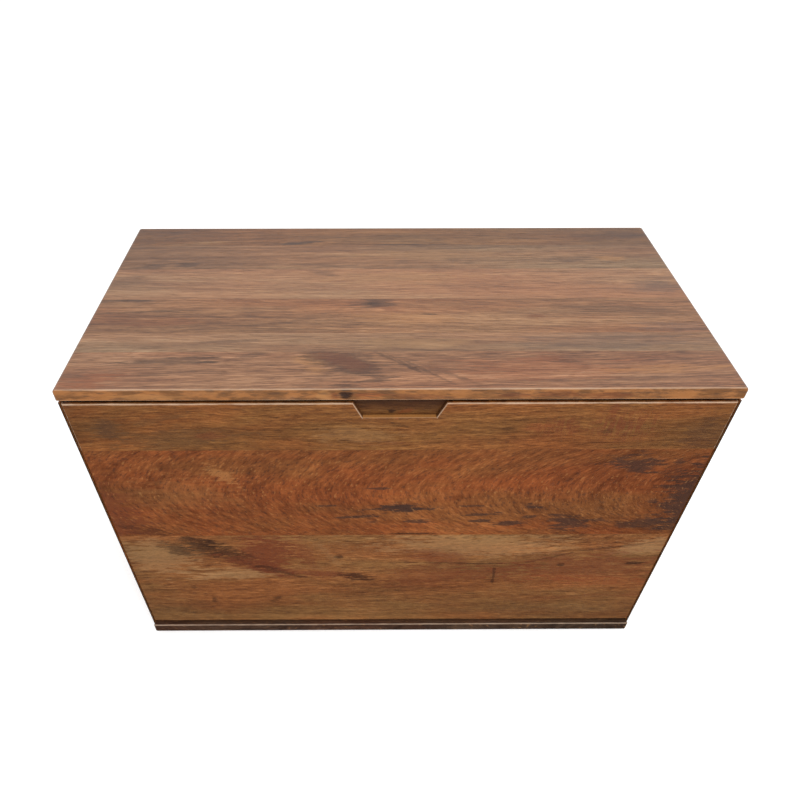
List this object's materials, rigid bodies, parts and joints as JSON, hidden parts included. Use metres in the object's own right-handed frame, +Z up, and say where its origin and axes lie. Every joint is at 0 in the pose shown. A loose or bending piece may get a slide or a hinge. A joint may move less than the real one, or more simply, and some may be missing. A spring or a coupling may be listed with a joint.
{
  "type": "toy box",
  "caption": "Wooden toy box of edge-glued boards: a lid hinged along its back edge, a finger notch in the front panel to lift it by, and a folding stay at each end.",
  "frame": {"origin": "middle of the box's footprint on the floor", "axes": "+Z up, +X along the box to its right-hand end seen from the front, -Y out of the front panel"},
  "size_m": [0.9, 0.446, 0.617],
  "materials": {
    "lid_wood": "satin lacquer over brown stain",
    "front_upper_wood": "satin lacquer over brown stain",
    "front_middle_wood": "satin lacquer over brown stain",
    "front_lower_wood": "satin lacquer over brown stain",
    "carcass_wood": "satin lacquer over brown stain",
    "base_wood": "satin lacquer over dark brown stain",
    "inner_wood": "thin satin lacquer",
    "hinge_steel": "antique brass plated steel",
    "stay_steel": "zinc plated, lightly brushed",
    "screw_steel": "zinc plated",
    "button_rubber": "matt",
    "glide_plastic": "matt"
  },
  "bodies": {
    "carcass": {"back_board_lower": "carcass_wood", "back_board_middle": "carcass_wood", "back_board_upper": "carcass_wood", "base_board_1": "base_wood", "base_board_2": "base_wood", "base_board_3": "base_wood", "base_board_4": "base_wood", "base_screws": "screw_steel", "corner_post_back_left": "inner_wood", "corner_post_back_right": "inner_wood", "corner_post_front_left": "inner_wood", "corner_post_front_right": "inner_wood", "floor_glides": "glide_plastic", "front_board_lower": "front_lower_wood", "front_board_middle": "front_middle_wood", "front_board_upper": "front_upper_wood", "hinge_leaf_body_left": "hinge_steel", "hinge_leaf_body_right": "hinge_steel", "hinge_pin_left": "hinge_steel", "hinge_pin_right": "hinge_steel", "hinge_screws_body": "screw_steel", "lid_buttons": "button_rubber", "panel_screws": "screw_steel", "side_board_left_lower": "carcass_wood", "side_board_left_middle": "carcass_wood", "side_board_left_upper": "carcass_wood", "side_board_right_lower": "carcass_wood", "side_board_right_middle": "carcass_wood", "side_board_right_upper": "carcass_wood", "stay_foot_rivet_left": "stay_steel", "stay_foot_rivet_right": "stay_steel", "stay_plate_left": "stay_steel", "stay_plate_right": "stay_steel", "stay_screws_body": "screw_steel"},
    "lid": {"batten_screws": "screw_steel", "hinge_leaf_lid_left": "hinge_steel", "hinge_leaf_lid_right": "hinge_steel", "hinge_screws_lid": "screw_steel", "lid_batten_left": "inner_wood", "lid_batten_right": "inner_wood", "lid_board_1": "lid_wood", "lid_board_2": "lid_wood", "lid_board_3": "lid_wood", "lid_board_4": "lid_wood", "lid_board_5": "lid_wood", "lid_board_6": "lid_wood", "stay_angle_left": "stay_steel", "stay_angle_right": "stay_steel", "stay_eye_rivet_left": "stay_steel", "stay_eye_rivet_right": "stay_steel", "stay_screws_lid": "screw_steel"},
    "stay_lower_left": {"stay_lower_arm_left": "stay_steel", "stay_elbow_rivet_left": "stay_steel"},
    "stay_upper_left": {"stay_upper_arm_left": "stay_steel"},
    "stay_lower_right": {"stay_lower_arm_right": "stay_steel", "stay_elbow_rivet_right": "stay_steel"},
    "stay_upper_right": {"stay_upper_arm_right": "stay_steel"}
  },
  "joints": [
    {"name": "lid_hinge", "type": "hinge", "parent": "carcass", "child": "lid", "pos_m": [0, 0.2195, 0.59475], "axis": [-1, 0, 0], "range_deg": [0, 95]},
    {"name": "stay_foot_left", "type": "hinge", "parent": "carcass", "child": "stay_lower_left", "pos_m": [-0.4265, 0.1095, 0.44475], "axis": [-1, 0, 0], "range_deg": [0, 95]},
    {"name": "stay_elbow_left", "type": "hinge", "parent": "stay_lower_left", "child": "stay_upper_left", "pos_m": [-0.4265, -0.1205, 0.43075], "axis": [-1, 0, 0], "range_deg": [-95, 0]},
    {"name": "stay_foot_right", "type": "hinge", "parent": "carcass", "child": "stay_lower_right", "pos_m": [0.4265, 0.1095, 0.44475], "axis": [-1, 0, 0], "range_deg": [0, 95]},
    {"name": "stay_elbow_right", "type": "hinge", "parent": "stay_lower_right", "child": "stay_upper_right", "pos_m": [0.4265, -0.1205, 0.43075], "axis": [-1, 0, 0], "range_deg": [-95, 0]}
  ],
  "couplings": [
    {"joint": "stay_foot_left", "follows": "lid_hinge", "ratio": 1},
    {"joint": "stay_elbow_left", "follows": "lid_hinge", "ratio": -1},
    {"joint": "stay_foot_right", "follows": "lid_hinge", "ratio": 1},
    {"joint": "stay_elbow_right", "follows": "lid_hinge", "ratio": -1}
  ]
}
